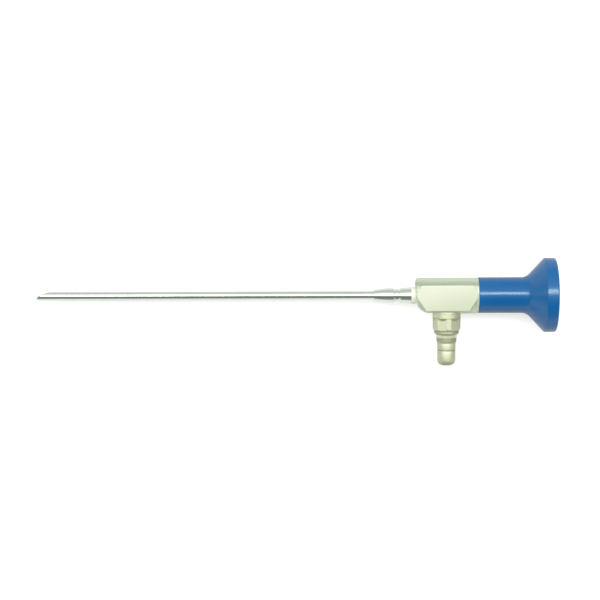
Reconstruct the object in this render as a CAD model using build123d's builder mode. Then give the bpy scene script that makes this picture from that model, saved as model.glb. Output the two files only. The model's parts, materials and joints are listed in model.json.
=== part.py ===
"""A rigid rod-lens endoscope with a steep side view, lying on a table.

It is drawn straight first: X runs along the optical axis from the nose of the shaft to the eyecup,
the light post points along -Y and the two flat side pads face +Z and -Z. At the end every piece is
laid down together, so that the eyecup, the tip and the end of the light post touch the table.
All sizes are in millimetres.
"""

import os
from math import asin, atan, atan2, cos, degrees, hypot, radians, sin, tan

from build123d import *

# Clearances
slip = 0.02
seat_gap = 0.05
cut_margin = 1.0

# Shaft and its bevelled beak
shaft_r = 2.0
shaft_length = 144.8
tube_wall = 0.2
bevel_angle = 25.0
heel_r = 12.0
nose_r = 0.62
nose_drop = 0.9
nose_plan_r = 1.85
sole_length = 12.0
edge_overrun = 0.05

# Optics tube and the glass in it
optics_r = 1.4
optics_wall = 0.15
optics_setback = 4.6
window_at = 1.45
window_r = 0.85
window_thickness = 0.45
prism_reach = 0.8
prism_half_width = 0.7
prism_half_height = 0.95
glass_bulge = 0.08
negative_lens_length = 0.9
objective_spacer_length = 1.3
objective_length = 2.6
rod_count = 6
rod_spacer_length = 3.4
spacer_wall = 0.16

# Lock cone and its clamp ring
cone_length = 16.4
cone_front_r = 2.35
cone_bulge_at = 4.2
cone_bulge_r = 3.06
cone_shoulder_at = 8.7
cone_shoulder_r = 3.22
waist_r = 2.82
waist_length = 3.0
waist_slope = 0.6
waist_round = 0.35
cone_land_r = 3.28
cone_back_r = 3.58
cone_spigot_r = 3.1
cone_spigot_length = 3.4
cone_front_round = 0.2
ring_length = 1.9
ring_r = 3.62
ring_chamfer = 0.15

# Body
body_r = 7.6
body_length = 26.9
front_wall = 3.5
cavity_r = 5.6
back_wall = 4.0
front_round = 1.1
underside_round = 6.9
back_chamfer = 0.2
saddle_drop = 7.95
saddle_crown_r = 6.1
pad_height = 8.2
pad_rise = 5.2
pad_fall = 6.05
pad_front_gap = 0.1
pad_back_gap = 0.35
pad_top_cut = 2.1
pad_top_cut_drop = 3.4
pad_bottom_cut = 4.0
pad_bottom_cut_rise = 5.9
pad_corner_round = 0.8
pad_end_round = 2.0
pad_edge_round = 0.3
spigot_r = 6.3
spigot_length = 10.0
seal_groove_at = 2.0
seal_groove_width = 1.2
seal_groove_depth = 0.7

# Light post: places along it are distances from the optical axis
post_at = 13.4
post_base = 7.45
socket_r = 6.05
socket_edge = 0.15
flats_start = 9.6
flats_shoulder_slope = 2.0
flats_end = 14.3
flat_apothem = 5.62
flat_count = 6
flats_turn = -7.6
socket_end = 15.3
socket_end_r = 5.25
socket_spigot_r = 4.2
socket_spigot_length = 2.0
socket_stub_r = 3.7
socket_stub_length = 2.0
adapter_r = 5.32
adapter_step = 16.4
adapter_neck_at = 17.05
adapter_neck_r = 4.39
adapter_band_at = 18.3
adapter_band_step = 0.08
adapter_taper_at = 19.9
adapter_end = 20.5
adapter_end_r = 3.98
adapter_stub_r = 3.2
adapter_stub_length = 2.4
plug_taper_length = 2.9
plug_r = 3.92
plug_groove_width = 0.45
plug_groove_depth = 0.16
plug_end = 30.2
plug_end_round = 2.0
plug_mouth_r = 1.7
plug_lip = 1.0
post_seal_r = 0.36
post_window_thickness = 0.8
ferrule_r = 2.6

# Light fibres
fibre_tail_r = 1.25
fibre_bend_r = 5.0
fibre_gap = 0.1
gather_skin = 0.15
gather_slope = 1.7
gather_length = 1.6

# Eyepiece
eyepiece_r = 7.72
eyepiece_tube_length = 20.6
flare_length = 7.7
cup_r = 16.0
cup_band = 4.9
neck_round = 4.6
crease_round = 0.8
rim_round = 0.9
cup_lip = 1.7
lip_round = 0.6
dish_depth = 6.4
dish_floor_r = 7.2
joint_edge = 0.2

# Ocular
cell_r = 4.7
cell_wall = 0.7
cell_end_gap = 0.9
bush_length = 3.6
stop_inset = 5.0
stop_hole_r = 1.0
stop_thickness = 0.6
ocular_spacer_length = 6.2
ocular_spacer_wall = 0.6
ocular_length = 4.6
ocular_bulge = 0.6
ocular_ring_length = 1.5
eye_ring_r = 6.0
eye_ring_length = 2.4
eye_ring_mouth_r = 3.8
eye_window_r = 4.9
eye_window_thickness = 1.3

# Places along the optical axis
cone_x = shaft_length
ring_x = cone_x + cone_length
body_x = ring_x + ring_length
tube_end_x = body_x + cone_spigot_length
cavity_x = body_x + front_wall
joint_x = body_x + body_length
cavity_end_x = joint_x - back_wall
spigot_end_x = joint_x + spigot_length
flare_x = joint_x + eyepiece_tube_length
crease_x = flare_x + flare_length
rim_x = crease_x + cup_band
dish_x = rim_x - dish_depth
eye_ring_x = dish_x - eye_ring_length
post_x = body_x + post_at
cell_x = cavity_end_x + bush_length + seat_gap
stop_x = cell_x + stop_inset
far_x = rim_x + cut_margin

# Radii that fit into each other
tube_bore_r = shaft_r - tube_wall
glass_r = optics_r - optics_wall - slip
spigot_bore_r = cell_r + slip
cell_glass_r = cell_r - cell_wall - slip
ferrule_end = plug_end - plug_lip - post_window_thickness - 2 * slip
post_axis = Axis((post_x, 0, 0), (0, -1, 0))

pieces = []


def outline(*points):
    """A closed face through the points, on the plane of the optical axis and the light post."""
    with BuildSketch(Plane.XY) as face:
        with BuildLine():
            Polyline(*points, close=True)
        make_face()
    return face.sketch


def below(radius, distance):
    """A point of a light post profile, from its radius and its distance from the optical axis."""
    return (post_x + radius, -distance)


def ring_profile(start, end, inner, outer):
    """A rectangle for a plain ring around the optical axis."""
    return outline((start, inner), (end, inner), (end, outer), (start, outer))


def post_ring(start, end, inner, outer):
    """A rectangle for a plain ring around the light post's axis."""
    return outline(below(inner, start), below(outer, start), below(outer, end), below(inner, end))


def lens_profile(start, length, radius, clear_r, bulge):
    """A lens with two domed faces inside a flat rim."""
    end = start + length
    with BuildSketch(Plane.XY) as face:
        with BuildLine():
            front = ThreePointArc(
                (start - bulge, 0),
                (start - bulge * 0.75, clear_r / 2),
                (start, clear_r),
            )
            back = ThreePointArc(
                (end + bulge, 0),
                (end + bulge * 0.75, clear_r / 2),
                (end, clear_r),
            )
            Polyline(front @ 1, (start, radius), (end, radius), back @ 1)
            Line(front @ 0, back @ 0)
        make_face()
    return face.sketch


def finish(builder, name):
    """Label a finished piece and keep it for the last step."""
    builder.part.label = name
    pieces.append(builder.part)


# The beak from the side: the bevel and the sole both touch the nose circle
bevel_along = Vector(cos(radians(bevel_angle)), sin(radians(bevel_angle)))
bevel_out = Vector(-sin(radians(bevel_angle)), cos(radians(bevel_angle)))
nose_centre = Vector(nose_r, -nose_drop)
bevel_start = nose_centre + bevel_out * nose_r
half_height = shaft_r + edge_overrun
heel = bevel_start + bevel_along * ((half_height - bevel_start.Y) / bevel_along.Y)
sole_run = sole_length - nose_centre.X
sole_fall = -half_height - nose_centre.Y
sole_angle = atan2(sole_fall, sole_run) + asin(nose_r / hypot(sole_run, sole_fall))
sole_start = nose_centre + Vector(sin(sole_angle), -cos(sole_angle)) * nose_r


def side_view():
    """The shaft from the side, with the round nose, the flat bevel and the long heel."""
    with BuildSketch(Plane.XY) as side:
        with BuildLine():
            Polyline((sole_start.X, sole_start.Y), (sole_length, -half_height), (far_x, -half_height))
            Line((far_x, -half_height), (far_x, half_height))
            Polyline((far_x, half_height), (heel.X, heel.Y), (bevel_start.X, bevel_start.Y))
            ThreePointArc((bevel_start.X, bevel_start.Y), (0, -nose_drop), (sole_start.X, sole_start.Y))
        make_face()
        fillet(side.vertices().sort_by_distance((heel.X, heel.Y))[0], heel_r)
    return side.sketch


def plan_view(inset):
    """The shaft seen along the light post, with its round nose, drawn smaller all round by inset."""
    with BuildSketch(Plane.XZ) as plan:
        with Locations((inset, 0)):
            Rectangle(far_x, 2 * (half_height - inset), align=(Align.MIN, Align.CENTER))
        fillet(plan.vertices().group_by(Axis.X)[0], nose_plan_r - inset)
    return plan.sketch


# Outer tube: polished steel, closed in under the nose and open at the bevel
sole_slope = tan(sole_angle)
inner_sole_y = sole_start.Y + tube_wall / cos(sole_angle) - (cut_margin + sole_start.X) * sole_slope
with BuildPart() as tube_cavity:
    revolve(ring_profile(0, tube_end_x, 0, tube_bore_r), axis=Axis.X)
    extrude(
        outline(
            (-cut_margin, inner_sole_y),
            (sole_length, tube_wall - half_height),
            (far_x, tube_wall - half_height),
            (far_x, half_height),
            (-cut_margin, half_height),
        ),
        amount=half_height,
        both=True,
        mode=Mode.INTERSECT,
    )
    extrude(plan_view(tube_wall), amount=half_height, both=True, mode=Mode.INTERSECT)

with BuildPart() as outer_tube:
    revolve(ring_profile(0, tube_end_x, 0, shaft_r), axis=Axis.X)
    extrude(side_view(), amount=half_height, both=True, mode=Mode.INTERSECT)
    extrude(plan_view(0), amount=half_height, both=True, mode=Mode.INTERSECT)
    add(tube_cavity.part, mode=Mode.SUBTRACT)
finish(outer_tube, "outer_tube")

# Tip window: a sapphire disc, polished flush with the bevel
window_centre = bevel_start + bevel_along * window_at
window_plane = Plane(
    origin=(window_centre.X, window_centre.Y, 0),
    x_dir=(bevel_along.X, bevel_along.Y, 0),
    z_dir=(bevel_out.X, bevel_out.Y, 0),
)
with BuildPart() as tip_window:
    with BuildSketch(window_plane):
        Circle(window_r)
    extrude(amount=-window_thickness)
finish(tip_window, "tip_window")

# Deflecting prism: it turns the steep side view into the optics tube
prism_front = window_centre - bevel_along * prism_reach - bevel_out * (window_thickness + slip)
prism_foot = prism_front - bevel_out * ((prism_front.Y + prism_half_height) / bevel_out.Y)
prism_top = prism_front + bevel_along * ((prism_half_height - prism_front.Y) / bevel_along.Y)
with BuildPart() as deflecting_prism:
    extrude(
        outline(
            (prism_front.X, prism_front.Y),
            (prism_foot.X, -prism_half_height),
            (optics_setback + cut_margin, -prism_half_height),
            (
                optics_setback + cut_margin,
                prism_front.Y + (optics_setback + cut_margin - prism_front.X) * tan(radians(bevel_angle)),
            ),
        ),
        amount=prism_half_width,
        both=True,
    )
    extrude(
        ring_profile(0, optics_setback - slip, -prism_half_height, prism_half_height),
        amount=prism_half_width,
        both=True,
        mode=Mode.INTERSECT,
    )
finish(deflecting_prism, "deflecting_prism")

# Optics tube: the thin inner tube that holds the lenses and rods
with BuildPart() as optics_tube:
    revolve(ring_profile(optics_setback, stop_x - slip, optics_r - optics_wall, optics_r), axis=Axis.X)
finish(optics_tube, "optics_tube")

# Objective: a small lens behind the prism, a spacer and a cemented pair
clear_r = glass_r - spacer_wall - slip
next_x = optics_setback + slip
with BuildPart() as negative_lens:
    revolve(ring_profile(next_x, next_x + negative_lens_length, 0, glass_r), axis=Axis.X)
finish(negative_lens, "negative_lens")
next_x += negative_lens_length + slip
with BuildPart() as objective_spacer:
    revolve(
        ring_profile(next_x, next_x + objective_spacer_length, glass_r - spacer_wall, glass_r),
        axis=Axis.X,
    )
finish(objective_spacer, "objective_spacer")
next_x += objective_spacer_length + slip
with BuildPart() as objective_lens:
    revolve(lens_profile(next_x, objective_length, glass_r, clear_r, glass_bulge), axis=Axis.X)
finish(objective_lens, "objective_lens")
next_x += objective_length + slip

# Relay: long glass rods with a short spacer in front of each
rod_pitch = (stop_x - slip - next_x) / rod_count
rod_length = rod_pitch - rod_spacer_length - 2 * slip
for number in range(1, rod_count + 1):
    with BuildPart() as rod_spacer:
        revolve(
            ring_profile(next_x, next_x + rod_spacer_length, glass_r - spacer_wall, glass_r),
            axis=Axis.X,
        )
    finish(rod_spacer, f"rod_spacer_{number}")
    rod_x = next_x + rod_spacer_length + slip
    with BuildPart() as rod_lens:
        revolve(lens_profile(rod_x, rod_length, glass_r, clear_r, glass_bulge), axis=Axis.X)
    finish(rod_lens, f"rod_lens_{number}")
    next_x += rod_pitch

# Light fibres: they fill the shaft around the optics, gather behind it and bend into the post
tail_y = optics_r + fibre_gap + fibre_tail_r
gather_r = tail_y + fibre_tail_r + gather_skin
gather_end_x = tube_end_x + gather_slope + gather_length
with BuildPart() as fibre_bundle:
    add(tube_cavity.part)
    extrude(side_view(), amount=half_height, both=True, mode=Mode.INTERSECT)
    revolve(
        outline(
            (tube_end_x - slip, 0),
            (tube_end_x - slip, tube_bore_r),
            (tube_end_x + slip, tube_bore_r),
            (tube_end_x + gather_slope, gather_r),
            (gather_end_x, gather_r),
            (gather_end_x, 0),
        ),
        axis=Axis.X,
    )
    with BuildLine(Plane.XY) as tail_path:
        run = Line((gather_end_x - gather_length / 2, -tail_y), (post_x - fibre_bend_r, -tail_y))
        bend = JernArc(start=run @ 1, tangent=run % 1, radius=fibre_bend_r, arc_size=-90)
        Line(bend @ 1, (post_x, -ferrule_end))
    with BuildSketch(Plane(origin=tail_path.line @ 0, z_dir=tail_path.line % 0)):
        Circle(fibre_tail_r)
    sweep(path=tail_path.line)
    revolve(ring_profile(optics_setback, far_x, 0, optics_r), axis=Axis.X, mode=Mode.SUBTRACT)
    add(tip_window.part, mode=Mode.SUBTRACT)
    extrude(
        outline(
            (prism_front.X, prism_front.Y),
            (prism_foot.X, -prism_half_height),
            (optics_setback + slip, -prism_half_height),
            (optics_setback + slip, prism_half_height),
            (prism_top.X, prism_top.Y),
        ),
        amount=prism_half_width,
        both=True,
        mode=Mode.SUBTRACT,
    )
finish(fibre_bundle, "fibre_bundle")

# Lock cone: a turned nose with an ogive, a waist and a taper, brazed onto the outer tube
cone_bore_r = shaft_r + slip
shoulder_x = cone_x + cone_shoulder_at
waist_end_x = shoulder_x + waist_length
with BuildPart() as lock_cone:
    with BuildSketch(Plane.XY) as cone_section:
        with BuildLine():
            ogive = ThreePointArc(
                (cone_x, cone_front_r),
                (cone_x + cone_bulge_at, cone_bulge_r),
                (shoulder_x, cone_shoulder_r),
            )
            Polyline(
                ogive @ 1,
                (shoulder_x + waist_slope, waist_r),
                (waist_end_x - waist_slope, waist_r),
                (waist_end_x, cone_land_r),
                (ring_x, cone_back_r),
                (ring_x, cone_spigot_r),
                (tube_end_x, cone_spigot_r),
                (tube_end_x, cone_bore_r),
                (cone_x, cone_bore_r),
                ogive @ 0,
            )
        make_face()
        for corner in (
            (shoulder_x, cone_shoulder_r),
            (shoulder_x + waist_slope, waist_r),
            (waist_end_x - waist_slope, waist_r),
            (waist_end_x, cone_land_r),
        ):
            fillet(cone_section.vertices().sort_by_distance(corner)[0], waist_round)
        fillet(cone_section.vertices().sort_by_distance((cone_x, cone_front_r))[0], cone_front_round)
    revolve(axis=Axis.X)
finish(lock_cone, "lock_cone")

# Cone ring: the satin ring that is clamped between the cone and the body
with BuildPart() as cone_ring:
    with BuildSketch(Plane.XY) as ring_section:
        with BuildLine():
            Polyline(
                (ring_x + slip, cone_spigot_r + slip),
                (body_x - slip, cone_spigot_r + slip),
                (body_x - slip, ring_r),
                (ring_x + slip, ring_r),
                close=True,
            )
        make_face()
        chamfer(ring_section.vertices().group_by(Axis.Y)[-1], ring_chamfer)
    revolve(axis=Axis.X)
finish(cone_ring, "cone_ring")

# Body: a turned barrel with a rounded underside, two flat pads, a neck for the post and a back spigot
with BuildPart() as saddle:
    with BuildSketch(Plane.YZ.offset(post_x)):
        with Locations((saddle_crown_r - saddle_drop, 0)):
            Circle(saddle_crown_r)
    extrude(amount=joint_x - back_chamfer - post_x)
    extrude(
        outline(
            (post_x, 0),
            (post_x, -saddle_drop - edge_overrun),
            (post_x + socket_r, -saddle_drop - edge_overrun),
            (joint_x, -body_r),
            (joint_x, 0),
        ),
        amount=body_r,
        both=True,
        mode=Mode.INTERSECT,
    )

groove_x = joint_x + seal_groove_at
pad_front_x = body_x + pad_front_gap
pad_back_x = joint_x - pad_back_gap
with BuildPart() as body_housing:
    with BuildSketch(Plane.XY) as barrel:
        with BuildLine():
            Polyline((body_x, 0), (body_x, body_r), (joint_x, body_r), (joint_x, 0), close=True)
        make_face()
        fillet(barrel.vertices().sort_by_distance((body_x, body_r))[0], front_round)
        chamfer(barrel.vertices().sort_by_distance((joint_x, body_r))[0], back_chamfer)
    revolve(axis=Axis.X)
    with BuildSketch(Plane.XY) as barrel_side:
        with BuildLine():
            Polyline(
                (body_x - edge_overrun, -body_r - edge_overrun),
                (joint_x + edge_overrun, -body_r - edge_overrun),
                (joint_x + edge_overrun, body_r + edge_overrun),
                (body_x - edge_overrun, body_r + edge_overrun),
                close=True,
            )
        make_face()
        fillet(barrel_side.vertices().sort_by_distance((body_x, -body_r))[0], underside_round)
    extrude(amount=body_r + cut_margin, both=True, mode=Mode.INTERSECT)
    with BuildSketch(Plane.XY) as pad_face:
        with BuildLine():
            Polyline(
                (pad_front_x, pad_rise - pad_top_cut_drop),
                (pad_front_x + pad_top_cut, pad_rise),
                (pad_back_x - pad_top_cut, pad_rise),
                (pad_back_x, pad_rise - pad_top_cut_drop),
                (pad_back_x, pad_bottom_cut_rise - pad_fall),
                (pad_back_x - pad_bottom_cut, -pad_fall),
                (pad_front_x + pad_bottom_cut, -pad_fall),
                (pad_front_x, pad_bottom_cut_rise - pad_fall),
                close=True,
            )
        make_face()
        pad_ends = pad_face.vertices().group_by(Axis.X)
        fillet(pad_ends[0] + pad_ends[-1], pad_end_round)
        pad_corners = pad_face.vertices().group_by(Axis.Y)
        fillet(pad_corners[0] + pad_corners[-1], pad_corner_round)
    extrude(amount=pad_height, both=True)
    pad_tops = body_housing.faces().filter_by(Plane.XY).group_by(Axis.Z)
    fillet(pad_tops[0].edges() + pad_tops[-1].edges(), pad_edge_round)
    add(saddle.part)
    revolve(post_ring(0, post_base, 0, socket_r), axis=post_axis)
    revolve(post_ring(post_base, plug_end, 0, socket_r + slip), axis=post_axis, mode=Mode.SUBTRACT)
    revolve(post_ring(0, plug_end, 0, socket_spigot_r + slip), axis=post_axis, mode=Mode.SUBTRACT)
    revolve(ring_profile(joint_x - cut_margin, spigot_end_x, 0, spigot_r), axis=Axis.X)
    for start, end, radius in (
        (body_x - cut_margin, cavity_x, cone_spigot_r + slip),
        (cavity_x, cavity_end_x, cavity_r),
        (cavity_end_x, far_x, spigot_bore_r),
    ):
        revolve(ring_profile(start, end, 0, radius), axis=Axis.X, mode=Mode.SUBTRACT)
    revolve(
        ring_profile(groove_x, groove_x + seal_groove_width, spigot_r - seal_groove_depth, far_x),
        axis=Axis.X,
        mode=Mode.SUBTRACT,
    )
finish(body_housing, "body_housing")

# Eyepiece seal: the rubber ring in the groove of the spigot
seal_r = (seal_groove_depth + slip) / 2 - slip
with BuildPart() as eyepiece_seal:
    with BuildSketch(Plane.XY):
        with Locations((groove_x + seal_groove_width / 2, spigot_r - seal_groove_depth + slip + seal_r)):
            Circle(seal_r)
    revolve(axis=Axis.X)
finish(eyepiece_seal, "eyepiece_seal")

# Post socket: fixed in the body, with wrench flats between a plain ring and a chamfer
with BuildPart() as flats_tool:
    revolve(
        outline(
            below(0, flats_start + socket_r * flats_shoulder_slope),
            below(socket_r + cut_margin, flats_start - cut_margin * flats_shoulder_slope),
            below(socket_r + cut_margin, plug_end),
            below(0, plug_end),
        ),
        axis=post_axis,
    )
    with BuildSketch(Plane(origin=(post_x, 0, 0), x_dir=(0, 0, 1), z_dir=(0, -1, 0))):
        RegularPolygon(flat_apothem, flat_count, major_radius=False, rotation=flats_turn)
    extrude(amount=plug_end, mode=Mode.SUBTRACT)

ferrule_bore_r = ferrule_r + slip
with BuildPart() as post_socket:
    revolve(
        outline(
            below(ferrule_bore_r, post_base - socket_spigot_length),
            below(socket_spigot_r, post_base - socket_spigot_length),
            below(socket_spigot_r, post_base + slip),
            below(socket_r - socket_edge, post_base + slip),
            below(socket_r, post_base + slip + socket_edge),
            below(socket_r, flats_end),
            below(socket_end_r, socket_end),
            below(socket_stub_r, socket_end),
            below(socket_stub_r, socket_end + socket_stub_length),
            below(ferrule_bore_r, socket_end + socket_stub_length),
        ),
        axis=post_axis,
    )
    add(flats_tool.part, mode=Mode.SUBTRACT)
finish(post_socket, "post_socket")

# Post seal: the rubber ring around the socket's stub
seal_top = socket_end + seat_gap + slip
with BuildPart() as post_seal:
    with BuildSketch(Plane.XY):
        with Locations(below(socket_stub_r + slip + post_seal_r, seal_top + post_seal_r)):
            Circle(post_seal_r)
    revolve(axis=post_axis)
finish(post_seal, "post_seal")

# Middle adapter: a stepped sleeve that screws over the socket's stub
adapter_bore_r = socket_stub_r + slip
adapter_bore_end = socket_end + socket_stub_length + seat_gap
seal_seat_r = socket_stub_r + 2 * (slip + post_seal_r)
with BuildPart() as middle_adapter:
    revolve(
        outline(
            below(seal_seat_r, socket_end + seat_gap),
            below(adapter_r, socket_end + seat_gap),
            below(adapter_r, adapter_step),
            below(adapter_neck_r, adapter_neck_at),
            below(adapter_neck_r, adapter_band_at),
            below(adapter_neck_r - adapter_band_step, adapter_band_at),
            below(adapter_neck_r - adapter_band_step, adapter_taper_at),
            below(adapter_end_r, adapter_end),
            below(adapter_stub_r, adapter_end),
            below(adapter_stub_r, adapter_end + adapter_stub_length),
            below(ferrule_bore_r, adapter_end + adapter_stub_length),
            below(ferrule_bore_r, adapter_bore_end),
            below(adapter_bore_r, adapter_bore_end),
            below(adapter_bore_r, seal_top + 2 * post_seal_r + slip),
            below(seal_seat_r, seal_top + 2 * post_seal_r + slip),
        ),
        axis=post_axis,
    )
finish(middle_adapter, "middle_adapter")

# Tip adapter: the grooved plug that takes the light cable
plug_start = adapter_end + seat_gap
plug_land = plug_start + plug_taper_length
plug_groove_end = plug_land + plug_groove_width
plug_bore_end = adapter_end + adapter_stub_length + seat_gap
with BuildPart() as tip_adapter:
    with BuildSketch(Plane.XY) as plug:
        with BuildLine():
            Polyline(
                below(adapter_stub_r + slip, plug_start),
                below(adapter_end_r, plug_start),
                below(plug_r, plug_land - plug_groove_depth),
                below(plug_r, plug_land),
                below(plug_r - plug_groove_depth, plug_land),
                below(plug_r - plug_groove_depth, plug_groove_end),
                below(plug_r, plug_groove_end),
                below(plug_r, plug_end),
                below(plug_mouth_r, plug_end),
                below(plug_mouth_r, plug_end - plug_lip),
                below(ferrule_bore_r, plug_end - plug_lip),
                below(ferrule_bore_r, plug_bore_end),
                below(adapter_stub_r + slip, plug_bore_end),
                close=True,
            )
        make_face()
        fillet(plug.vertices().sort_by_distance(below(plug_r, plug_end))[0], plug_end_round)
    revolve(axis=post_axis)
finish(tip_adapter, "tip_adapter")

# Fibre ferrule: the steel sleeve that holds the fibres down the middle of the post
ferrule_start = tail_y + fibre_bend_r + fibre_gap
with BuildPart() as fibre_ferrule:
    revolve(post_ring(ferrule_start, ferrule_end, fibre_tail_r + slip, ferrule_r), axis=post_axis)
finish(fibre_ferrule, "fibre_ferrule")

# Post window: the glass disc that closes the end of the post
post_window_at = ferrule_end + slip
with BuildPart() as post_window:
    revolve(
        post_ring(post_window_at, post_window_at + post_window_thickness, 0, ferrule_r),
        axis=post_axis,
    )
finish(post_window, "post_window")

# Tube bush: it centres the optics tube in the back of the body
with BuildPart() as tube_bush:
    revolve(ring_profile(cavity_end_x, cavity_end_x + bush_length, optics_r + slip, cell_r), axis=Axis.X)
finish(tube_bush, "tube_bush")

# Ocular cell: the tube that holds the field stop and the eyepiece lens
cell_end_x = eye_ring_x - cell_end_gap
with BuildPart() as ocular_cell:
    revolve(ring_profile(cell_x, cell_end_x, cell_r - cell_wall, cell_r), axis=Axis.X)
finish(ocular_cell, "ocular_cell")

with BuildPart() as field_stop:
    revolve(ring_profile(stop_x, stop_x + stop_thickness, stop_hole_r, cell_glass_r), axis=Axis.X)
finish(field_stop, "field_stop")

ocular_bore_r = cell_glass_r - ocular_spacer_wall
spacer_x = stop_x + stop_thickness + slip
with BuildPart() as ocular_spacer:
    revolve(
        ring_profile(spacer_x, spacer_x + ocular_spacer_length, ocular_bore_r, cell_glass_r),
        axis=Axis.X,
    )
finish(ocular_spacer, "ocular_spacer")

lens_x = spacer_x + ocular_spacer_length + slip
with BuildPart() as eyepiece_lens:
    revolve(
        lens_profile(lens_x, ocular_length, cell_glass_r, ocular_bore_r - slip, ocular_bulge),
        axis=Axis.X,
    )
finish(eyepiece_lens, "eyepiece_lens")

lens_ring_x = lens_x + ocular_length + slip
with BuildPart() as lens_ring:
    revolve(
        ring_profile(lens_ring_x, lens_ring_x + ocular_ring_length, ocular_bore_r, cell_glass_r),
        axis=Axis.X,
    )
finish(lens_ring, "lens_ring")

# Eyepiece shell: the blue grip and the funnel-shaped eyecup, turned as one piece
shell_x = joint_x + slip
with BuildPart() as eyepiece_shell:
    with BuildSketch(Plane.XY) as shell:
        with BuildLine():
            Polyline(
                (shell_x, eyepiece_r),
                (flare_x, eyepiece_r),
                (crease_x, cup_r),
                (rim_x, cup_r),
                (rim_x, cup_r - cup_lip),
                (dish_x, dish_floor_r),
                (dish_x, eye_ring_r + slip),
                (eye_ring_x, eye_ring_r + slip),
                (eye_ring_x, spigot_bore_r),
                (spigot_end_x + seat_gap, spigot_bore_r),
                (spigot_end_x + seat_gap, spigot_r + slip),
                (shell_x, spigot_r + slip),
                close=True,
            )
        make_face()
        chamfer(shell.vertices().sort_by_distance((shell_x, eyepiece_r))[0], joint_edge)
        fillet(shell.vertices().sort_by_distance((flare_x, eyepiece_r))[0], neck_round)
        fillet(shell.vertices().sort_by_distance((crease_x, cup_r))[0], crease_round)
        fillet(shell.vertices().sort_by_distance((rim_x, cup_r))[0], rim_round)
        fillet(shell.vertices().sort_by_distance((rim_x, cup_r - cup_lip))[0], lip_round)
    revolve(axis=Axis.X)
finish(eyepiece_shell, "eyepiece_shell")

# Eye ring and eye window: the steel ring holds the window against the shell's shoulder
window_seat_x = eye_ring_x + slip + eye_window_thickness
with BuildPart() as eye_ring:
    revolve(
        outline(
            (eye_ring_x + slip, eye_window_r + slip),
            (window_seat_x + slip, eye_window_r + slip),
            (window_seat_x + slip, eye_ring_mouth_r),
            (dish_x, eye_ring_mouth_r),
            (dish_x, eye_ring_r),
            (eye_ring_x + slip, eye_ring_r),
        ),
        axis=Axis.X,
    )
finish(eye_ring, "eye_ring")

with BuildPart() as eye_window:
    revolve(ring_profile(eye_ring_x + slip, window_seat_x, 0, eye_window_r), axis=Axis.X)
finish(eye_window, "eye_window")

# Lay the scope down: it touches the table at the tip, at the eyecup's crease and at the post's end
crease_ring_r = cup_r - crease_round
crease_contact_x = crease_x + crease_round
tilt = atan((cup_r - shaft_r) / (crease_contact_x - nose_plan_r))
post_height = shaft_r + (post_x - nose_plan_r) * tan(tilt)
plug_corner_r = plug_r - plug_end_round
plug_corner_at = plug_end - plug_end_round
roll = asin((post_height - plug_end_round) / hypot(plug_corner_at, plug_corner_r)) - atan2(
    plug_corner_r, plug_corner_at
)
laid = Rot(Y=-degrees(tilt)) * Rot(X=degrees(roll))
box = Compound([piece.moved(laid) for piece in pieces]).bounding_box()
on_table = Pos(-box.center().X, -box.center().Y, -box.min.Z) * laid

os.makedirs("parts", exist_ok=True)
for piece in pieces:
    placed = piece.moved(on_table)
    placed.label = piece.label
    export_step(placed, f"parts/{piece.label}.step")

print(f"{len(pieces)} pieces, rods of {rod_length:.1f} mm")
print(f"laid down with a tilt of {degrees(tilt):.2f} and a roll of {degrees(roll):.2f} degrees")
print(f"overall {box.size.X:.1f} x {box.size.Y:.1f} x {box.size.Z:.1f} mm")
print(f"origin moved by {-box.center().X:.4f}, {-box.center().Y:.4f}, {-box.min.Z:.4f} mm")
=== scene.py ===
# %% [markdown]
# # Dressing a rigid endoscope
# A surgeon looks into a joint through this instrument: a polished steel tube full of rod lenses, a satin
# steel body with a post for the light cable, and a blue eyepiece with a funnel for the camera.
# Its solids come packed as a fixed frame, at their real size. This lesson turns the outer pieces again as
# smooth meshes with rounded edges, gives each surface its own finish and lights the whole like a
# catalogue picture.

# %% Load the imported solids
import json
from math import cos, degrees, pi, radians, sin, tan, tau

import bpy
from mathutils import Matrix, Vector


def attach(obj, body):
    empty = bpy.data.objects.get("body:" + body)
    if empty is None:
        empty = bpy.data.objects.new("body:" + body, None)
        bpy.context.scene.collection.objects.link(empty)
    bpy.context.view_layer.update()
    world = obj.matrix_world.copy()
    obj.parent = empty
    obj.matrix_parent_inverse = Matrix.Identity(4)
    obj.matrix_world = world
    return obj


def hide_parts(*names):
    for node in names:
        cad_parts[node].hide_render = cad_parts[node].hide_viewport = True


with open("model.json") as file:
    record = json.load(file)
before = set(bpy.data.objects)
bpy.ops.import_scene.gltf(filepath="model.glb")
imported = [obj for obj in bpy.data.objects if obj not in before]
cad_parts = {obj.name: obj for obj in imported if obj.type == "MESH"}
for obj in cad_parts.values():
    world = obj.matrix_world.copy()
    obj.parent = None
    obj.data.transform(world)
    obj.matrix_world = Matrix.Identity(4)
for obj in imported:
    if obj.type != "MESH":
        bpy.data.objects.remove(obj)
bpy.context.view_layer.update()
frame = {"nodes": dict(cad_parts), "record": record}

nodes = frame["nodes"]

# %% [markdown]
# ## Where the scope lies
# The scope lies aslant, on its tip, its eyecup and the end of its light post. Turned pieces are far easier
# to make straight, so the mounts in the record give back the scope's own frame: X runs from the nose to
# the eye, Y points away from the light post, and the flat pads face Z. The light post gets a frame of its
# own, with X along the post.

# %% The scope's straight frame, from its mounts
millimetre = 0.001
eyecup_at = 220.7 * millimetre
post_at = 176.5 * millimetre
mounts = {mount["name"]: mount for mount in frame["record"]["mounts"]}
along = Vector(mounts["eyecup"]["axis"]).normalized()
post_way = Vector(mounts["light_post"]["axis"]).normalized()
nose = Vector(mounts["eyecup"]["pos_m"]) - along * eyecup_at


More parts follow.
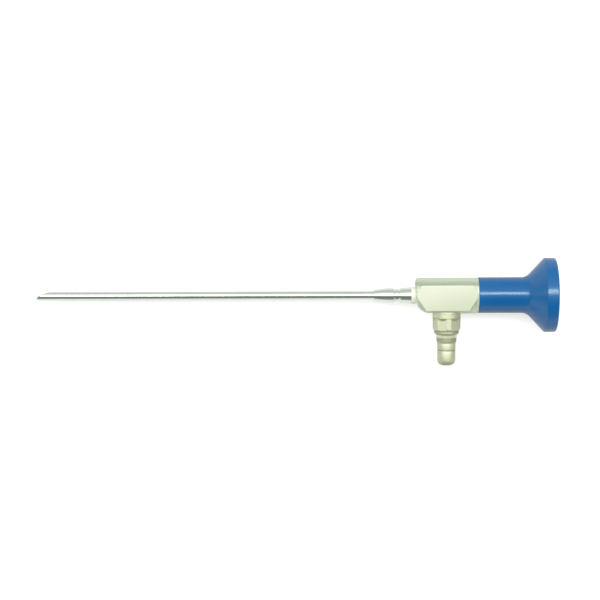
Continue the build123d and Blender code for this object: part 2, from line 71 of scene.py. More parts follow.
def frame_at(start, x_way, y_way, z_way):
    """The matrix of a frame that starts at a point, with three directions as its axes."""
    return Matrix.Translation(start) @ Matrix((x_way, y_way, z_way)).transposed().to_4x4()


scope_frame = frame_at(nose, along, -post_way, along.cross(-post_way))
post_frame = frame_at(nose + along * post_at, post_way, along, post_way.cross(along))
print("nose at", [round(value / millimetre, 2) for value in nose], "mm")

# %% [markdown]
# ## Where the camera looks from
# A catalogue camera looks almost squarely at the side pad, a little from the side that the light post turns
# away from. Three directions describe that view: up in the picture, out of the picture towards the camera,
# and along the scope. The camera is held a trace off level, so the eyecup ends up slightly higher.

# %% The picture's directions
camera_roll = radians(7.2)
camera_slant = 0.003
scope_turn = scope_frame.to_3x3()
picture_up = scope_turn @ Vector((0, cos(camera_roll), -sin(camera_roll)))
picture_out = scope_turn @ Vector((0, sin(camera_roll), cos(camera_roll)))
camera_right = along * cos(camera_slant) - picture_up * sin(camera_slant)
camera_up = picture_up * cos(camera_slant) + along * sin(camera_slant)
from_vertical = degrees(picture_out.angle(Vector((0, 0, 1))))
print("the camera looks down at", round(from_vertical, 1), "degrees from the vertical")

# %% [markdown]
# ## The camera
# It stands far off with a long lens, so the shaft stays straight and even. The frame is a good deal wider
# than the scope, and the middle of the picture lies just below the shaft.

# %% The camera
camera_distance = 0.85
frame_width = 0.258
centre_at = 113.4 * millimetre
centre_drop = 1.88 * millimetre
picture_centre = nose + along * centre_at - picture_up * centre_drop
camera_place = picture_centre + picture_out * camera_distance
bpy.ops.object.camera_add()
camera = bpy.context.object
camera.name = "catalogue_camera"
camera.matrix_world = frame_at(camera_place, camera_right, camera_up, picture_out)
camera.data.lens = camera.data.sensor_width * camera_distance / frame_width
camera.data.clip_end = 20
bpy.context.scene.camera = camera
bpy.context.scene.view_settings.view_transform = "Standard"
print("lens of", round(camera.data.lens), "mm, at", camera_distance, "m")

# %% [markdown]
# ## Adding nodes
# A material is a small network of nodes. One helper adds a node and wires it, so that a recipe reads from
# top to bottom. The others add one kind of node each: a step of arithmetic, a mask between two values, the
# agreement of two directions, a stretch, a noise and a blend.

# %% Helpers for node trees
def add_node(tree, kind, inputs=None, **settings):
    """Add one node with its settings, and give each input a value or a link."""
    made = tree.nodes.new(kind)
    for name, value in settings.items():
        setattr(made, name, value)
    for name, value in (inputs or {}).items():
        if isinstance(value, bpy.types.NodeSocket):
            tree.links.new(value, made.inputs[name])
        else:
            made.inputs[name].default_value = value
    return made


def calculate(tree, operation, first, second=0.0, third=0.0):
    """One step of arithmetic."""
    return add_node(tree, "ShaderNodeMath", {0: first, 1: second, 2: third}, operation=operation).outputs[0]


def between(tree, value, low, high, **settings):
    """A mask that is 0 at the low value and 1 at the high one."""
    limits = {"Value": value, "From Min": low, "From Max": high}
    return add_node(tree, "ShaderNodeMapRange", limits, **settings).outputs[0]


def agreement(tree, first, second):
    """The dot product of two directions: 1 where they are the same, -1 where they are opposite."""
    product = add_node(tree, "ShaderNodeVectorMath", {0: first, 1: second}, operation="DOT_PRODUCT")
    return product.outputs["Value"]


def stretch(tree, place, factors):
    """A place with each of its three parts multiplied by a factor of its own."""
    return add_node(tree, "ShaderNodeVectorMath", {0: place, 1: factors}, operation="MULTIPLY").outputs[0]


def noise(tree, place, scale, detail, roughness=0.5):
    """A soft random value between 0 and 1."""
    recipe = {"Vector": place, "Scale": scale, "Detail": detail, "Roughness": roughness}
    return add_node(tree, "ShaderNodeTexNoise", recipe).outputs["Fac"]


def blend_values(tree, mask, first, second):
    """The first value where the mask is 0, the second where it is 1."""
    return add_node(tree, "ShaderNodeMix", {0: mask, 2: first, 3: second}).outputs[0]


def blend_colours(tree, mask, first, second, blend_type="MIX"):
    """The first colour where the mask is 0, and where it is 1 the second or another mix of both."""
    inputs = {0: mask, 6: first, 7: second}
    return add_node(tree, "ShaderNodeMix", inputs, data_type="RGBA", blend_type=blend_type).outputs[2]


print("ready to build node trees")

# %% [markdown]
# ## Naming colours
# A painter names a colour by what the eye sees on a screen, and Blender reckons in linear light, so one
# helper turns the first into the second. Another gives a colour ramp its stops.

# %% Helpers for colours
def paint(red, green, blue):
    """A colour from its 0 to 255 screen values, in linear light."""
    linear = []
    for value in (red, green, blue):
        share = value / 255
        linear.append(share / 12.92 if share <= 0.04045 else ((share + 0.055) / 1.055) ** 2.4)
    return (*linear, 1)


def grey(value):
    """A neutral colour, in linear light."""
    return (value, value, value, 1)


def fill_ramp(ramp, stops):
    """Give a colour ramp its stops, each a place from 0 to 1 and a colour."""
    while len(ramp.elements) < len(stops):
        ramp.elements.new(0.5)
    for element, (place, colour) in zip(ramp.elements, stops):
        element.position = place
        element.color = colour


print("screen grey 128 is", round(paint(128, 128, 128)[0], 3), "in linear light")

# %% [markdown]
# ## The room that the steel mirrors
# Polished steel has hardly any colour of its own: it shows the room. Under studio light that room is a pale
# dome with a bright window of light on one side of the camera and a soft dark patch on the other. A turned
# piece mirrors it in lines along its axis, so the tone has to change only with the angle around the scope,
# counted in degrees from the camera upwards. The dark side is a touch green, as the shade on steel in
# catalogue pictures often is.

# %% The room's tones
def shade(value):
    """A grey that turns slightly green as it gets darker."""
    depth = max(0, 1 - value)
    return (value * (1 - 0.14 * depth), value * (1 + 0.03 * depth), value * (1 - 0.16 * depth), 1)


room = [(-105, 0.85), (-76, 0.52), (-57, 0.26), (-37, 0.16), (-20, 0.25), (-5, 0.62), (10, 0.98), (22, 1.05),
        (36, 0.86), (52, 0.62), (68, 0.54), (88, 0.58), (104, 0.95)]
room_values = [value for angle, value in room]
print("the room's tones run from", min(room_values), "to", max(room_values))

# %% [markdown]
# ### The dome
# The world's light comes from one ramp around the scope's axis. The camera itself sees plain white behind
# the scope, which Is Camera Ray picks out, so that the page stays white without more light on the steel.

# %% The studio dome
world = bpy.data.worlds.new("studio")
bpy.context.scene.world = world
world.use_nodes = True
sky = world.node_tree
sky.nodes.clear()
direction = add_node(sky, "ShaderNodeTexCoord").outputs["Generated"]
upward = agreement(sky, direction, picture_up)
outward = agreement(sky, direction, picture_out)
around = calculate(sky, "ARCTAN2", upward, outward)
dome = add_node(sky, "ShaderNodeValToRGB", {"Fac": between(sky, around, -pi, pi)})
dome.color_ramp.interpolation = "EASE"
fill_ramp(dome.color_ramp, [(0.5 + angle / 360, shade(value)) for angle, value in room])
rays = add_node(sky, "ShaderNodeLightPath").outputs
room_light = add_node(sky, "ShaderNodeBackground", {"Color": dome.outputs["Color"]}).outputs[0]
white_page = add_node(sky, "ShaderNodeBackground", {"Color": grey(1)}).outputs[0]
seen = add_node(sky, "ShaderNodeMixShader", {0: rays["Is Camera Ray"], 1: room_light, 2: white_page})
add_node(sky, "ShaderNodeOutputWorld", {"Surface": seen.outputs[0]})
print("dome with", len(dome.color_ramp.elements), "stops")

# %% [markdown]
# ## The strip lamp
# One long lamp runs beside the camera, parallel to the scope. It draws the thin bright line along the blue
# grip and the cup, so its angle and its width are read from where that line lies and how wide it is.

# %% The strip lamp
lamp_angle = radians(10.5)
lamp_distance = 0.9
lamp_way = picture_up * sin(lamp_angle) + picture_out * cos(lamp_angle)
lamp_place = picture_centre + lamp_way * lamp_distance
bpy.ops.object.light_add(type="AREA")
lamp = bpy.context.object
lamp.name = "strip_lamp"
lamp.data.shape = "RECTANGLE"
lamp.data.size = 2.2
lamp.data.size_y = 0.2
lamp.data.energy = 10.7
lamp.matrix_world = frame_at(lamp_place, along, lamp_way.cross(along), lamp_way)
print("strip lamp of", round(lamp.data.energy, 1), "W and", round(lamp.data.size, 1), "m long")

# %% [markdown]
# ## The table
# The picture is cut out on pure white. A plain white table under the scope still has to catch its soft
# shadow, so the table shades like paper and glows a little, for the camera and for what mirrors it.

# %% The table
paper_tone = 0.46
glow_for_camera = 0.7
glow_in_mirrors = 0.26
bpy.ops.mesh.primitive_plane_add(size=6, location=(0, 0, 0))
table = bpy.context.object
table.name = "table"
table_paint = bpy.data.materials.new("table_white")
table_paint.use_nodes = True
tree = table_paint.node_tree
tree.nodes.clear()
rays = add_node(tree, "ShaderNodeLightPath").outputs
mirrored = calculate(tree, "MAXIMUM", rays["Is Glossy Ray"], rays["Is Transmission Ray"])
mirrored_glow = calculate(tree, "MULTIPLY", mirrored, glow_in_mirrors)
glow = calculate(tree, "MULTIPLY_ADD", rays["Is Camera Ray"], glow_for_camera, mirrored_glow)
paper = add_node(tree, "ShaderNodeBsdfDiffuse", {"Color": grey(paper_tone)}).outputs[0]
shine = add_node(tree, "ShaderNodeEmission", {"Color": grey(1), "Strength": glow}).outputs[0]
both = add_node(tree, "ShaderNodeAddShader", {0: paper, 1: shine})
add_node(tree, "ShaderNodeOutputMaterial", {"Surface": both.outputs[0]})
table.data.materials.append(table_paint)
print("table of", round(table.dimensions.x, 1), "m, at height", table.location.z)

# %% [markdown]
# ## Patterns that many finishes share
# Wear, clouds, turning marks and scratches are on every steel, each time with other sizes. Each pattern is
# therefore built once as a node group, with named inputs for what changes. A group takes a place and some
# numbers and puts out one value.
#
# ### Soft clouds
# No real surface is one even tone. This mask drifts between 0 and 1 and mixes two neighbouring colours or
# two neighbouring amounts of polish.

# %% Group: soft clouds
def start_pattern(name, knobs, output):
    """An empty node group, what goes into it, and its one output."""
    group = bpy.data.node_groups.new(name, "ShaderNodeTree")
    group.interface.new_socket("Vector", in_out="INPUT", socket_type="NodeSocketVector")
    for knob, value in knobs.items():
        made = group.interface.new_socket(knob, in_out="INPUT", socket_type="NodeSocketFloat")
        made.default_value = value
    group.interface.new_socket(output, in_out="OUTPUT", socket_type="NodeSocketFloat")
    given = group.nodes.new("NodeGroupInput").outputs
    return group, given, group.nodes.new("NodeGroupOutput").inputs[output]


clouds, given, mask = start_pattern("soft_clouds", {"Scale": 100.0, "Detail": 3.0}, "Mask")
drift = noise(clouds, given["Vector"], given["Scale"], given["Detail"], 0.55)
clouds.links.new(between(clouds, drift, 0.3, 0.7), mask)
print("soft clouds of", len(clouds.nodes), "nodes")

# %% [markdown]
# ### Worn edges
# Where an edge turns sharply, handling rubs it bright. The Bevel node rounds the normal near an edge, so the
# difference between it and the true normal finds the edge, and a fine noise breaks it up.

# %% Group: worn edges
nearly_flat, fully_turned = 0.995, 0.90
patch_start, patch_full = 0.35, 0.6
edges, given, mask = start_pattern("worn_edges", {"Width": 0.0002, "Amount": 1.0}, "Mask")
rounded = add_node(edges, "ShaderNodeBevel", {"Radius": given["Width"]}, samples=6).outputs[0]
true_normal = add_node(edges, "ShaderNodeNewGeometry").outputs["Normal"]
turned = between(edges, agreement(edges, rounded, true_normal), nearly_flat, fully_turned)
patches = between(edges, noise(edges, given["Vector"], 900.0, 4.0, 0.6), patch_start, patch_full)
broken = calculate(edges, "MULTIPLY", turned, patches)
edges.links.new(calculate(edges, "MULTIPLY", broken, given["Amount"]), mask)
print("worn edges of", len(edges.nodes), "nodes")

# %% [markdown]
# ### Turning marks
# A lathe leaves fine rings around its axis, X in the pattern's own frame. Waves give their rhythm and a
# stretched noise the chatter in between. At scale 1 the Wave texture repeats every tau / 20, so dividing
# that by the pitch gives the scale.

# %% Group: turning marks
marks, given, height = start_pattern("turning_marks", {"Pitch": 0.0001}, "Height")
wave_length = tau / 20
chatter_share = 0.6
wave_recipe = {
    "Vector": given["Vector"],
    "Scale": calculate(marks, "DIVIDE", wave_length, given["Pitch"]),
    "Distortion": 0.4,
    "Detail": 1.0,
    "Detail Scale": 0.2,
}
rings = add_node(marks, "ShaderNodeTexWave", wave_recipe, wave_type="BANDS", bands_direction="X")
chatter = noise(marks, stretch(marks, given["Vector"], (1, 0.02, 0.02)), 9000.0, 3.0)
marks.links.new(blend_values(marks, chatter_share, rings.outputs["Fac"], chatter), height)
print("turning marks of", len(marks.nodes), "nodes")

# %% [markdown]
# ### Fine scratches
# Three stretched noises, each turned another way, leave thin broken lines where they peak.

# %% Group: fine scratches
peak_start, peak_full = 0.66, 0.72
scratches, given, mask = start_pattern("fine_scratches", {"Scale": 60.0}, "Mask")
lines = 0.0
for turn_x, turn_z in ((0.3, 0.5), (1.4, 2.2), (2.5, 1.2)):
    turned_way = {"Vector": given["Vector"], "Rotation": (turn_x, 0, turn_z)}
    turned = add_node(scratches, "ShaderNodeMapping", turned_way).outputs[0]
    streaks = noise(scratches, stretch(scratches, turned, (1, 30, 1)), given["Scale"], 5.0)
    lines = calculate(scratches, "MAXIMUM", lines, between(scratches, streaks, peak_start, peak_full))
scratches.links.new(lines, mask)
print("fine scratches of", len(scratches.nodes), "nodes")

# %% [markdown]
# ## Starting a finish
# Every finish starts the same way: a new material, its Principled shader, and the place of a point in a
# straight frame, so that turning marks run around the scope although it lies aslant. Object coordinates
# keep the patterns on the piece, and a Mapping node of the texture kind brings them into that frame.

# %% Starting a finish
finishes = {}


def start_finish(name, pattern_frame):
    """A new material's tree, its shader, and the place in the given frame."""
    finishes[name] = bpy.data.materials.new(name)
    finishes[name].use_nodes = True
    tree = finishes[name].node_tree
    shader = tree.nodes["Principled BSDF"]
    straighten = {
        "Vector": add_node(tree, "ShaderNodeTexCoord").outputs["Object"],
        "Location": pattern_frame.to_translation(),
        "Rotation": pattern_frame.to_euler(),
    }
    return tree, shader, add_node(tree, "ShaderNodeMapping", straighten, vector_type="TEXTURE").outputs[0]


def use_pattern(tree, pattern, inputs):
    """Put a shared pattern into a finish."""
    return add_node(tree, "ShaderNodeGroup", inputs, node_tree=pattern).outputs[0]


def raise_surface(tree, shader, height, depth):
    """Let a height pattern of the given depth roughen the surface."""
    bump = add_node(tree, "ShaderNodeBump", {"Height": height, "Distance": depth})
    tree.links.new(bump.outputs[0], shader.inputs["Normal"])


print("patterns so far:", [group.name for group in bpy.data.node_groups])

# %% [markdown]
# ## Turned steel
# All steels here share one recipe, whether polished or blasted: two close tones in clouds, uneven polish,
# faint scratches that are a little duller, fine turning marks, and edges that handling has rubbed bright.
# The polish is a pair, the roughness of the smoother and of the rougher clouds.

# %% A recipe for turned steel
rubbed_edge = paint(246, 248, 236)
edge_width = 0.14 * millimetre


def metal_finish(name, pattern_frame, light, dark, polish, pitch, depth, metallic=1.0, wear=0.3):
    """Turned steel, with the pitch and the depth of its turning marks in millimetres."""
    tree, shader, place = start_finish(name, pattern_frame)
    cloud = use_pattern(tree, clouds, {"Vector": place, "Scale": 160.0})
    worn = use_pattern(tree, edges, {"Vector": place, "Width": edge_width, "Amount": wear})
    scratch = use_pattern(tree, scratches, {"Vector": place, "Scale": 240.0})
    height = use_pattern(tree, marks, {"Vector": place, "Pitch": pitch * millimetre})
    smooth, rough = polish
    colour = blend_colours(tree, worn, blend_colours(tree, cloud, dark, light), rubbed_edge)
    roughness = blend_values(tree, scratch, blend_values(tree, cloud, smooth, rough), rough + 0.05)
    tree.links.new(colour, shader.inputs["Base Color"])
    tree.links.new(roughness, shader.inputs["Roughness"])
    shader.inputs["Metallic"].default_value = metallic
    raise_surface(tree, shader, height, depth * millimetre)
    print(name, "has", len(tree.nodes), "nodes")
    return tree, shader, place, colour


print("edges are rubbed bright over", round(edge_width / millimetre, 2), "mm")

# %% [markdown]
# ### The plain steels
# The shaft and the cone are polished until they mirror the room. The clamp ring is blasted satin, the ring
# in the eyecup is a darker steel, and what lies inside is plain turned metal.

# %% The plain steels
metal_finish(
    "polished_steel", scope_frame, paint(247, 251, 245), paint(240, 245, 238),
    polish=(0.09, 0.11), pitch=0.06, depth=0.0001,
)
metal_finish(
    "satin_steel", scope_frame, paint(250, 252, 236), paint(243, 246, 229),
    polish=(0.5, 0.58), pitch=0.1, depth=0.002, metallic=0.2,
)
metal_finish(
    "ring_steel", scope_frame, paint(214, 216, 214), paint(200, 203, 200),
    polish=(0.22, 0.32), pitch=0.12, depth=0.003,
)
metal_finish(
    "inner_steel", scope_frame, paint(205, 205, 205), paint(190, 190, 190),
    polish=(0.3, 0.4), pitch=0.12, depth=0.003,
)

# %% [markdown]
# ## Steel that changes from place to place
# The body and the post aren't one even grey. The pads get a tone of their own, with painted light that grows
# towards the nose and the top, painted shade lies where a pad's wall meets the barrel, and painted light and
# shade run in bands along the adapters. A mask made from the place on the scope paints each of these, with
# soft ends.
#
# ### The body
# The pad's face is known by how far it lies from the middle plane. A slanted fade paints light on it,
# lighter towards the nose and the top, and painted shade lies at the foot of its upper wall. All places are
# in millimetres in the scope's own frame.

# %% The body's steel
pad_wall, pad_face = 8.0, 8.14
shade_top, full_shade_top, full_shade_end, shade_end = 7.0, 5.3, 5.1, 4.4
pad_shaded_slant, pad_lit_slant = -51, -39


def fade(tree, value, start, end):
    """A mask that is 0 at start and 1 at end, with both in millimetres."""
    return between(tree, value, start * millimetre, end * millimetre, interpolation_type="SMOOTHSTEP")


tree, shader, place, colour = metal_finish(
    "body_steel", scope_frame, paint(225, 232, 212), paint(217, 224, 203),
    polish=(0.56, 0.62), pitch=0.1, depth=0.002, metallic=0.85, wear=0.15,
)
x, y, z = add_node(tree, "ShaderNodeSeparateXYZ", {0: place}).outputs
on_pad = fade(tree, calculate(tree, "ABSOLUTE", z), pad_wall, pad_face)
slant = calculate(tree, "MULTIPLY_ADD", x, -0.25, y)
# painted light: the pad's face is painted lighter towards the nose and the top
pad_painted_light_mask = fade(tree, slant, pad_shaded_slant, pad_lit_slant)
painted_pad_light = blend_colours(tree, pad_painted_light_mask, paint(203, 208, 187), paint(219, 222, 204))
# painted shade: a darker band along the foot of the pad's upper wall, where the pad shades the barrel
shade_starts = fade(tree, y, shade_top, full_shade_top)
shade_stops = fade(tree, y, shade_end, full_shade_end)
painted_wall_shade = calculate(tree, "MULTIPLY", shade_starts, shade_stops)
# painted light: the half of the barrel towards the light post is painted one even, lighter tone
colour = blend_colours(tree, fade(tree, y, 0, -5), colour, paint(226, 231, 210))
# painted shade: the band under the pad's wall takes a darker, greener steel colour
colour = blend_colours(tree, painted_wall_shade, colour, paint(191, 199, 179))
colour = blend_colours(tree, on_pad, colour, painted_pad_light)
tree.links.new(colour, shader.inputs["Base Color"])
print("the pads' ground steel starts", pad_wall, "mm from the middle plane")

# %% [markdown]
# ### The post
# A ramp of painted light and shade runs along the post, from the ring at its root to its round end: its
# bright bands are painted highlights on the rounds, its dark bands painted shade and dark reflections on the
# faces that turn towards the free end, and the round end is painted dark for the reflection on it. Each stop
# is a place in millimetres from the scope's axis and a brightness, and the steel's own colour is multiplied
# by it.

# %% The post's painted light and shade
post_painted_light = [(7.4, 1.1), (9.5, 1.04), (10.4, 1), (14.4, 1), (14.9, 0.9), (15.2, 0.5), (15.45, 0.7),
              (16.9, 0.74), (17.15, 1.2), (18.15, 1.2), (18.3, 0.6), (20.0, 0.68), (20.35, 0.96),
              (23.3, 0.92), (23.5, 0.66), (23.85, 0.66), (24.0, 0.96), (28.8, 0.96), (29.5, 0.68),
              (30.2, 0.46)]
tree, shader, place, colour = metal_finish(
    "satin_post_steel", post_frame, paint(217, 219, 190), paint(208, 211, 181),
    polish=(0.48, 0.56), pitch=0.1, depth=0.003, metallic=0.9, wear=0.2,
)
x, y, z = add_node(tree, "ShaderNodeSeparateXYZ", {0: place}).outputs
tones_start = post_painted_light[0][0]
tones_end = post_painted_light[-1][0]
share = between(tree, x, tones_start * millimetre, tones_end * millimetre)
tones = add_node(tree, "ShaderNodeValToRGB", {"Fac": share})
tones_length = tones_end - tones_start
fill_ramp(tones.color_ramp, [((at - tones_start) / tones_length, grey(tone)) for at, tone in post_painted_light])
# painted light and shade: the ramp brightens and darkens the post's steel band by band
with_painted_light = blend_colours(tree, 1.0, colour, tones.outputs["Color"], blend_type="MULTIPLY")
print("the post has", len(tones.color_ramp.elements), "tones over", round(tones_length, 1), "mm")

# %% [markdown]
# ### A brown line at the wrench flats
# A thin brown line follows the scalloped edge where the flats begin. Along that edge the place on the post
# and twice the distance from its axis add up to one value, so a narrow band around that sum is the line.

# %% The brown line at the flats
brown_line_sum = 21.7 * millimetre
across = add_node(tree, "ShaderNodeCombineXYZ", {"X": y, "Y": z}).outputs[0]
radius = add_node(tree, "ShaderNodeVectorMath", {0: across}, operation="LENGTH").outputs["Value"]
edge_sum = calculate(tree, "MULTIPLY_ADD", radius, 2.0, x)
from_edge = calculate(tree, "ABSOLUTE", calculate(tree, "SUBTRACT", edge_sum, brown_line_sum))
# a thin brown line is painted along the scalloped edge where the flats begin
brown_line = calculate(tree, "MULTIPLY", fade(tree, from_edge, 0.4, 0.05), 0.5)
tree.links.new(blend_colours(tree, brown_line, with_painted_light, paint(150, 136, 88)), shader.inputs["Base Color"])
print("the post's finish now has", len(tree.nodes), "nodes")

# %% [markdown]
# ## The blue plastic
# The grip and the cup are one glossy moulding with a faint orange peel. It mirrors a little more than most
# plastics, which gives its edges their pale rim.

# %% Blue shell
tree, shader, place = start_finish("blue_shell", scope_frame)
cloud = use_pattern(tree, clouds, {"Vector": place, "Scale": 70.0})
scratch = use_pattern(tree, scratches, {"Vector": place, "Scale": 160.0})
worn = use_pattern(tree, edges, {"Vector": place, "Width": 0.3 * millimetre, "Amount": 0.25})
peel = use_pattern(tree, clouds, {"Vector": place, "Scale": 900.0})
blue = blend_colours(tree, cloud, paint(4, 87, 149), paint(7, 92, 154))
roughness = blend_values(tree, scratch, blend_values(tree, cloud, 0.17, 0.23), 0.27)
tree.links.new(blend_colours(tree, worn, blue, paint(60, 128, 180)), shader.inputs["Base Color"])
tree.links.new(roughness, shader.inputs["Roughness"])
shader.inputs["Specular IOR Level"].default_value = 0.7
shader.inputs["Specular Tint"].default_value = (0.85, 1, 0.92, 1)
raise_surface(tree, shader, peel, 0.004 * millimetre)
print("blue_shell has", len(tree.nodes), "nodes")

# %% [markdown]
# ## Dark and clear finishes
# Blackened metal, rubber, glass and the ends of the fibres share one simple recipe: two close tones, two
# close amounts of polish and a grain. What is the same all over, such as how clear a glass is, is set on
# the shader itself. The lens cell is blackened against stray light, and the windows are sapphire, which
# bends light more than the lenses do.

# %% Black metal, rubber, glass and fibres
def plain_finish(name, light, dark, polish, grain_scale, depth):
    """A plain surface, with the depth of its grain in millimetres."""
    tree, shader, place = start_finish(name, scope_frame)
    cloud = use_pattern(tree, clouds, {"Vector": place, "Scale": 200.0})
    grain = use_pattern(tree, clouds, {"Vector": place, "Scale": grain_scale})
    tree.links.new(blend_colours(tree, cloud, dark, light), shader.inputs["Base Color"])
    tree.links.new(blend_values(tree, cloud, *polish), shader.inputs["Roughness"])
    raise_surface(tree, shader, grain, depth * millimetre)
    print(name, "has", len(tree.nodes), "nodes")
    return shader


shader = plain_finish("black_aluminium", paint(52, 52, 55), paint(38, 38, 41), (0.45, 0.6), 4000.0, 0.004)
shader.inputs["Metallic"].default_value = 0.6
plain_finish("seal_rubber", paint(42, 42, 43), paint(30, 30, 31), (0.6, 0.75), 3000.0, 0.01)
for name, light, dark, bending in (
    ("window_glass", paint(236, 242, 244), paint(228, 236, 240), 1.77),
    ("optical_glass", paint(242, 250, 248), paint(234, 244, 242), 1.62),
):
    shader = plain_finish(name, light, dark, (0.02, 0.05), 2000.0, 0.0002)
    shader.inputs["Transmission Weight"].default_value = 1
    shader.inputs["IOR"].default_value = bending
plain_finish("glass_fibres", paint(190, 180, 140), paint(150, 140, 105), (0.15, 0.25), 9000.0, 0.004)

# %% [markdown]
# ## Dressing the solids
# Each solid of the frame names its material slot. The body and the post's socket get the steels that change
# from place to place, all others the finish of their slot.

# %% Give each solid its finish
special = {"post_socket": "satin_post_steel", "body_housing": "body_steel"}
for name, solid in nodes.items():
    for slot in solid.material_slots:
        slot.material = finishes[special.get(name, slot.material.name)]
    print(name, "wears", solid.material_slots[0].material.name)

# %% [markdown]
# ## Picking corners
# Most outer pieces are turned, so half of a section is drawn as one closed line of corners. A corner is
# picked by its place, because the order of the points changes with every rounding.

# %% Picking corners by their place
same_place = 0.001 * millimetre


def select_corners(mesh, places):
    """Select the corners that lie at the given places, and nothing else."""
    bpy.ops.mesh.select_all(action="DESELECT")
    bpy.ops.object.mode_set(mode="OBJECT")
    for vertex in mesh.vertices:
        vertex.select = any((vertex.co - place).length < same_place for place in places)
    bpy.ops.object.mode_set(mode="EDIT")


print("two corners are the same within", round(same_place / millimetre, 4), "mm")

# %% [markdown]
# ## Drawing a section
# A plane is merged to one point, which is moved to the first corner and extruded from corner to corner.
# Then each corner gets its own rounding. Bevel wants the distance that it cuts back along both lines, which
# follows from the radius and the angle between them.

# %% Drawing a section
def corner_segments(rounding):
    """How many segments a corner gets: more where its rounding is larger."""
    return 3 + round(2 * rounding)


def draw_section(name, corners):
    """Draw a closed line through the corners. Each is its place along X, its radius and its rounding."""
    places = [Vector((at, radius, 0)) * millimetre for at, radius, rounding in corners]
    bpy.ops.object.select_all(action="DESELECT")
    bpy.ops.mesh.primitive_plane_add(size=millimetre)
    piece = bpy.context.object
    piece.name = name
    bpy.ops.object.mode_set(mode="EDIT")
    bpy.ops.mesh.merge(type="CENTER")
    bpy.ops.transform.translate(value=places[0])
    for before, after in zip(places, places[1:]):
        bpy.ops.mesh.extrude_vertices_move(TRANSFORM_OT_translate={"value": after - before})
    select_corners(piece.data, [places[0], places[-1]])
    bpy.ops.mesh.edge_face_add()
    for number, (at, radius, rounding) in enumerate(corners):
        if rounding:
            here = places[number]
            following = places[(number + 1) % len(places)]
            inner_angle = (places[number - 1] - here).angle(following - here)
            cut_back = rounding * millimetre / tan(inner_angle / 2)
            select_corners(piece.data, [here])
            segments = corner_segments(rounding)
            bpy.ops.mesh.bevel(offset_type="OFFSET", offset=cut_back, segments=segments, affect="VERTICES")
    return piece


print("a corner rounded by 2 mm gets", corner_segments(2), "segments")

# %% [markdown]
# ## The lathe
# Spin carries the section once around the X axis. Its last ring lands on the first, so doubles are merged,
# and the normals are turned outwards. At the end the piece takes its place in the scope's or the post's
# frame, rides on the scope's one body and stands for its solid.

# %% The lathe
weld_distance = 0.0002 * millimetre
smooth_below = radians(32)


def turn_piece(name, corners, home, finish, steps=160):
    """Spin a section into a piece that replaces the solid of the same name."""
    piece = draw_section(name, corners)
    bpy.ops.mesh.select_all(action="SELECT")
    bpy.ops.mesh.spin(steps=steps, angle=tau, center=(0, 0, 0), axis=(1, 0, 0))
    bpy.ops.mesh.select_all(action="SELECT")
    bpy.ops.mesh.remove_doubles(threshold=weld_distance)
    bpy.ops.mesh.normals_make_consistent(inside=False)
    bpy.ops.object.mode_set(mode="OBJECT")
    piece.matrix_world = home
    bpy.ops.object.transform_apply(location=True, rotation=True, scale=True)
    bpy.ops.object.shade_smooth_by_angle(angle=smooth_below)
    piece.data.materials.append(finishes[finish])
    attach(piece, "root")
    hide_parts(name)
    print(name, "turned with", len(piece.data.polygons), "faces")


print("corners closer than", round(weld_distance / millimetre, 4), "mm are welded")

# %% [markdown]
# ## The eyepiece
# The grip runs straight, sweeps out through a generous round and ends in a short band with soft edges. The
# dish inside lets the eye or the camera come close to the window. The bore has two steps, for the ring
# around the window and for the spigot of the body. All places are in millimetres from the nose.

# %% The eyepiece shell
shell_start, spigot_end = 190.02, 200.05
grip_end, band_start, cup_end = 210.6, 218.3, 223.2
ring_seat, dish_floor = 214.4, 216.8
grip_radius, cup_radius = 7.72, 16
mouth_radius, floor_radius = 14.3, 7.2
spigot_radius, bore_radius, seat_radius = 6.32, 4.72, 6.02
turn_piece(
    "eyepiece_shell",
    [
        (shell_start, spigot_radius, 0.1),
        (shell_start, grip_radius, 0.22),
        (grip_end, grip_radius, 4.6),
        (band_start, cup_radius, 0.8),
        (cup_end, cup_radius, 0.9),
        (cup_end, mouth_radius, 0.6),
        (dish_floor, floor_radius, 0.4),
        (dish_floor, seat_radius, 0.1),
        (ring_seat, seat_radius, 0),
        (ring_seat, bore_radius, 0),
        (spigot_end, bore_radius, 0),
        (spigot_end, spigot_radius, 0),
    ],
    scope_frame,
    "blue_shell",
    steps=240,
)

# %% [markdown]
# ### The eye ring
# A steel ring in the bottom of the dish holds the window in its seat. Its front is flush with the dish.

# %% The ring around the eye window
eye_ring_start, window_front = 214.42, 215.74
eye_ring_radius, window_radius, view_radius = 6, 4.92, 3.8
turn_piece(
    "eye_ring",
    [
        (eye_ring_start, window_radius, 0),
        (window_front, window_radius, 0),
        (window_front, view_radius, 0),
        (dish_floor, view_radius, 0.3),
        (dish_floor, eye_ring_radius, 0.12),
        (eye_ring_start, eye_ring_radius, 0),
    ],
    scope_frame,
    "ring_steel",
)

# %% [markdown]
# ## The lock cone
# The nose of the cone swells like a bullet, drops into a waist, where the sheath's catch holds it, and runs
# on as a slender taper. A few points on a shallow curve above the chord make the swell, and behind the
# taper a sleeve goes into the body.

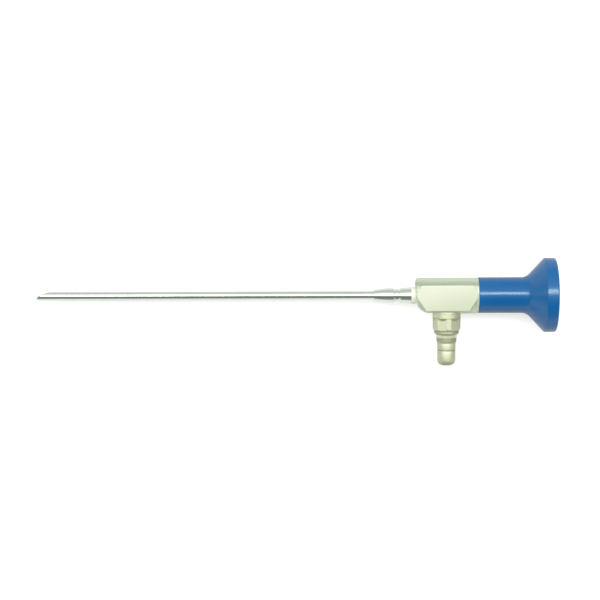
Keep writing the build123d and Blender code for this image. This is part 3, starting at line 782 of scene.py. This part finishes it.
# %% The lock cone
cone_start, swell_end = 144.8, 153.5
waist_start, waist_end = 154.1, 155.9
taper_start, taper_end, sleeve_end = 156.5, 161.2, 166.5
nose_radius, swell_radius, waist_radius = 2.35, 3.22, 2.82
taper_radius, back_radius, sleeve_radius = 3.28, 3.58, 3.1
tube_radius = 2.02
swell_bulge = 1.13
swell = []
for share in (0.16, 0.33, 0.5, 0.67, 0.84):
    chord = Vector((cone_start, nose_radius)).lerp(Vector((swell_end, swell_radius)), share)
    swell.append((chord.x, chord.y + swell_bulge * share * (1 - share), 0))
turn_piece(
    "lock_cone",
    [
        (cone_start, tube_radius, 0.06),
        (cone_start, nose_radius, 0.2),
        *swell,
        (swell_end, swell_radius, 0.35),
        (waist_start, waist_radius, 0.35),
        (waist_end, waist_radius, 0.35),
        (taper_start, taper_radius, 0.35),
        (taper_end, back_radius, 0.12),
        (taper_end, sleeve_radius, 0),
        (sleeve_end, sleeve_radius, 0),
        (sleeve_end, tube_radius, 0),
    ],
    scope_frame,
    "polished_steel",
)

# %% [markdown]
# ### The clamp ring
# A short satin ring parts the cone from the body. It is a plain ring with two broken edges.

# %% The clamp ring
ring_start, ring_end = 161.22, 163.08
ring_bore, ring_radius = 3.12, 3.62
ring_break = 0.18
turn_piece(
    "cone_ring",
    [
        (ring_start, ring_bore, 0),
        (ring_start, ring_radius, ring_break),
        (ring_end, ring_radius, ring_break),
        (ring_end, ring_bore, 0),
    ],
    scope_frame,
    "satin_steel",
)

# %% [markdown]
# ## The adapters on the light post
# Two adapters are screwed onto the post for two makes of light cable. The first seats on the socket's seal
# with its wide step. Its neck ends in a fine step and a taper, and a thin sleeve runs on inside the second.
# All places are now in millimetres from the scope's axis.

# %% The middle adapter
step_start, step_end, neck_start = 15.35, 16.4, 17.05
band_at, neck_taper, neck_end, inner_sleeve_end = 18.3, 19.9, 20.5, 22.9
seal_floor, post_end = 16.11, 17.35
step_radius, neck_radius, band_radius, end_radius = 5.32, 4.39, 4.31, 3.98
seal_radius, post_radius, inner_sleeve_radius, light_bore = 4.46, 3.72, 3.2, 2.62
turn_piece(
    "middle_adapter",
    [
        (step_start, seal_radius, 0),
        (step_start, step_radius, 0.12),
        (step_end, step_radius, 0.15),
        (neck_start, neck_radius, 0.25),
        (band_at, neck_radius, 0.03),
        (band_at, band_radius, 0),
        (neck_taper, band_radius, 0.15),
        (neck_end, end_radius, 0.06),
        (neck_end, inner_sleeve_radius, 0),
        (inner_sleeve_end, inner_sleeve_radius, 0),
        (inner_sleeve_end, light_bore, 0),
        (post_end, light_bore, 0),
        (post_end, post_radius, 0),
        (seal_floor, post_radius, 0),
        (seal_floor, seal_radius, 0),
    ],
    post_frame,
    "satin_post_steel",
)

# %% [markdown]
# ### The plug
# A cable snaps into its groove. Its end is rounded far over, and the light leaves through its mouth.

# %% The plug
plug_start, plug_end, mouth_floor, sleeve_seat = 20.55, 30.2, 29.2, 22.95
plug_taper_end, groove_start, groove_end = 23.29, 23.45, 23.9
plug_radius, groove_radius, light_mouth, sleeve_bore = 3.92, 3.76, 1.7, 3.22
turn_piece(
    "tip_adapter",
    [
        (plug_start, sleeve_bore, 0),
        (plug_start, end_radius, 0.07),
        (plug_taper_end, plug_radius, 0),
        (groove_start, plug_radius, 0.05),
        (groove_start, groove_radius, 0),
        (groove_end, groove_radius, 0),
        (groove_end, plug_radius, 0.05),
        (plug_end, plug_radius, 2),
        (plug_end, light_mouth, 0.12),
        (mouth_floor, light_mouth, 0),
        (mouth_floor, light_bore, 0),
        (sleeve_seat, light_bore, 0),
        (sleeve_seat, sleeve_bore, 0),
    ],
    post_frame,
    "satin_post_steel",
)
